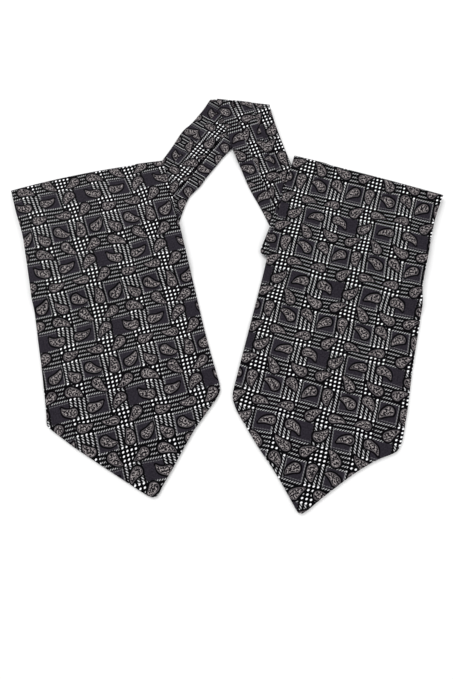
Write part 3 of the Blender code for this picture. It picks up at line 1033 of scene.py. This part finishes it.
def swollen_strip(start, end, height, swell, steps, strip):
    """(across, height, strip) over a strip of the band, which is a little higher in its middle."""
    return [
        (lerp(start, end, k / steps), height + swell * math.sin(math.pi * k / steps), strip)
        for k in range(steps + 1)
    ]


def pleat_edge(at, strip):
    """(across, height, strip) from the root of a pleat's slit out round its folded edge."""
    slit = BAND_LOW + GAP
    radius = BAND_STRIP / 2
    points = [(at + PLEAT_DEPTH, BAND_LOW + PLEAT_ROOT_RISE, strip), (at + PLEAT_DEPTH, slit, strip)]
    for k in range(PLEAT_STEPS + 1):
        angle = math.pi * (k / PLEAT_STEPS - 0.5)
        across = at + radius * (1 - math.cos(angle))
        points.append((across, slit + radius + radius * math.sin(angle), strip))
    return points


def smooth_rows(table, steps):
    """The table's rows with steps more between each two, on a curve through them."""
    rows = []
    for k in range(len(table) - 1):
        before = table[max(k - 1, 0)]
        here = table[k]
        after = table[k + 1]
        beyond = table[min(k + 2, len(table) - 1)]
        for step in range(steps):
            t = step / steps
            rows.append([
                0.5 * (2 * b + (c - a) * t + (2 * a - 5 * b + 4 * c - d) * t * t
                       + (3 * b - a - 3 * c + d) * t ** 3)
                for a, b, c, d in zip(before, here, after, beyond)
            ])
    rows.append(list(table[-1]))
    return rows


def corner_push(across):
    """How far a place across the lower half's end is pushed out beside the neck fold."""
    rise = 1 + CORNER_RISE * smooth_step(across / CORNER_WIDTH)
    return CORNER_REACH * rise * (1 - smooth_step((across - CORNER_WIDTH) / CORNER_FADE))


def band_ring(side, row, pleats, near_fold):
    """The band's section at a row of its table."""
    outer_x, outer_y, inner_x, inner_y, outer_lift, inner_lift = row
    width = math.hypot(inner_x - outer_x, inner_y - outer_y)
    pushed = near_fold ** 2 if side == "left" else 0.0
    ring = []
    for across, height, strip in band_section(width, pleats, near_fold):
        share = across / width
        x = lerp(outer_x, inner_x, share)
        y = lerp(outer_y, inner_y, share) + pushed * corner_push(across)
        ridge = ridge_height(BAND_RIDGES, x, y) * height / BAND_HIGH
        z = max(lerp(outer_lift, inner_lift, share), 0.0) + height + ridge
        ring.append((x, y, z, *band_print(side, strip, x, y)))
    return ring


def nose_ring(row, pleats, angle):
    """The band's section at the neck fold, turned down by angle about the fold's own line."""
    outer_x, outer_y, inner_x, inner_y = row[:4]
    width = math.hypot(inner_x - outer_x, inner_y - outer_y)
    forward = ((inner_y - outer_y) / width, (outer_x - inner_x) / width)
    ring = []
    for across, height, strip in band_section(width, pleats, 1.0):
        share = across / width
        reach = height + GAP / 2
        out = reach * math.sin(angle)
        edge_x = lerp(outer_x, inner_x, share)
        edge_y = lerp(outer_y, inner_y, share)
        z = max(NECK_LIFT - GAP / 2 + reach * math.cos(angle), 0.0)
        further = reach * angle
        ring.append((
            edge_x + forward[0] * out,
            edge_y + forward[1] * out,
            z,
            *band_print("right", strip, edge_x, edge_y, further),
        ))
    return ring


def make_band(side, table, pleats, material):
    rows = smooth_rows(table, BAND_STEPS)
    near_fold = [1 - smooth_step(k / (2 * BAND_STEPS)) for k in range(len(rows))]
    rings = [band_ring(side, row, pleats, near) for row, near in zip(rows, near_fold)]
    if side == "right":
        turns = [math.pi * (1 - k / NOSE_STEPS) for k in range(NOSE_STEPS)]
        rings = [nose_ring(rows[0], pleats, angle) for angle in turns] + rings
    caps = []
    for row, near in ((rows[0], near_fold[0]), (rows[-1], near_fold[-1])):
        width = math.hypot(row[2] - row[0], row[3] - row[1])
        section = band_section(width, pleats, near)
        caps.append(section_faces([(across, height) for across, height, strip in section]))
    piece = make_shell(f"{side}_band_silk", rings, caps[0], caps[1], material)
    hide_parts(f"{side}_band")


# The studio, in metres and watts: the floor's reach and height, and each light's place, size and power.
FLOOR_REACH = 3.0
FLOOR_HEIGHT = -0.0002
FLOOR_COLOUR = (0.86, 0.86, 0.86, 1)
FLOOR_ROUGHNESS = 0.9
LIGHTS = {
    "key": ((-0.7, 0.9, 1.5), 1.1, 17),
    "fill": ((1.0, -0.5, 1.6), 1.4, 9),
}
BACKDROP_STRENGTH = 0.75


def make_floor():
    mesh = bpy.data.meshes.new("floor")
    signs = ((-1, -1), (1, -1), (1, 1), (-1, 1))
    corners = [(x * FLOOR_REACH, y * FLOOR_REACH, FLOOR_HEIGHT) for x, y in signs]
    mesh.from_pydata(corners, [], [(0, 1, 2, 3)])
    material = bpy.data.materials.new("pale_floor")
    material.use_nodes = True
    shader = material.node_tree.nodes["Principled BSDF"]
    shader.inputs["Base Color"].default_value = FLOOR_COLOUR
    shader.inputs["Roughness"].default_value = FLOOR_ROUGHNESS
    mesh.materials.append(material)
    floor = bpy.data.objects.new("floor", mesh)
    bpy.context.scene.collection.objects.link(floor)


def make_light(name, place, size, power):
    """A round soft light that looks at the middle of the floor."""
    light = bpy.data.lights.new(name, "AREA")
    light.shape = "DISK"
    light.size = size
    light.energy = power
    lamp = bpy.data.objects.new(name, light)
    lamp.location = place
    lamp.rotation_euler = (-Vector(place)).to_track_quat("-Z", "Y").to_euler()
    bpy.context.scene.collection.objects.link(lamp)


def make_lights():
    for name, (place, size, power) in LIGHTS.items():
        make_light(name, place, size, power)
    world = bpy.data.worlds.new("studio")
    world.use_nodes = True
    backdrop = world.node_tree.nodes["Background"]
    backdrop.inputs["Color"].default_value = (1.0, 1.0, 1.0, 1)
    backdrop.inputs["Strength"].default_value = BACKDROP_STRENGTH
    bpy.context.scene.world = world
    bpy.context.scene.view_settings.view_transform = "Standard"


# The photograph's frame is 453 by 679 pixels, and the lens shows 500 of them at a slope of 1.
FRAME_TALL = 679
FOCAL_PIXELS = 500
CAMERA_TILT_DEG = 16.6
CAMERA_DISTANCE = 474.1
CAMERA_AIM = (-0.25, -59.9, 2.7)


def make_camera():
    camera = bpy.data.cameras.new("camera")
    camera.sensor_fit = "AUTO"
    camera.sensor_width = 36.0
    camera.lens = camera.sensor_width * FOCAL_PIXELS / FRAME_TALL
    tilt = math.radians(CAMERA_TILT_DEG)
    eye = bpy.data.objects.new("camera", camera)
    eye.location = (
        (CAMERA_AIM[0] + HOME[0]) * MM,
        (CAMERA_AIM[1] - CAMERA_DISTANCE * math.sin(tilt)) * MM,
        (CAMERA_AIM[2] + CAMERA_DISTANCE * math.cos(tilt)) * MM,
    )
    eye.rotation_euler = (tilt, 0, 0)
    bpy.context.scene.collection.objects.link(eye)
    bpy.context.scene.camera = eye


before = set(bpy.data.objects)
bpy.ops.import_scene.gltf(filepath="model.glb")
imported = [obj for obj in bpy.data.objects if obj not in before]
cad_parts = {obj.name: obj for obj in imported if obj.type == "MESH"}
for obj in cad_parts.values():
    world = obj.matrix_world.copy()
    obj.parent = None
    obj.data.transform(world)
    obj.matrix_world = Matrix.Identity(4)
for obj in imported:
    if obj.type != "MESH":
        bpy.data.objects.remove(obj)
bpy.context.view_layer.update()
make_camera()
make_lights()
make_floor()
silk_print = make_print_group()
blade_silk = silk_material("blade_silk", silk_print)
back_silk = silk_material("blade_back_silk", silk_print)
tuck_silk = silk_material("tuck_silk", silk_print)
band_silk = silk_material("band_silk", silk_print)
for blade_side in BLADES:
    make_tuck(blade_side, tuck_silk)
    make_back(blade_side, back_silk)
    make_front(blade_side, blade_silk)
make_band("left", LEFT_BAND, LEFT_PLEATS, band_silk)
make_band("right", RIGHT_BAND, RIGHT_PLEATS, band_silk)
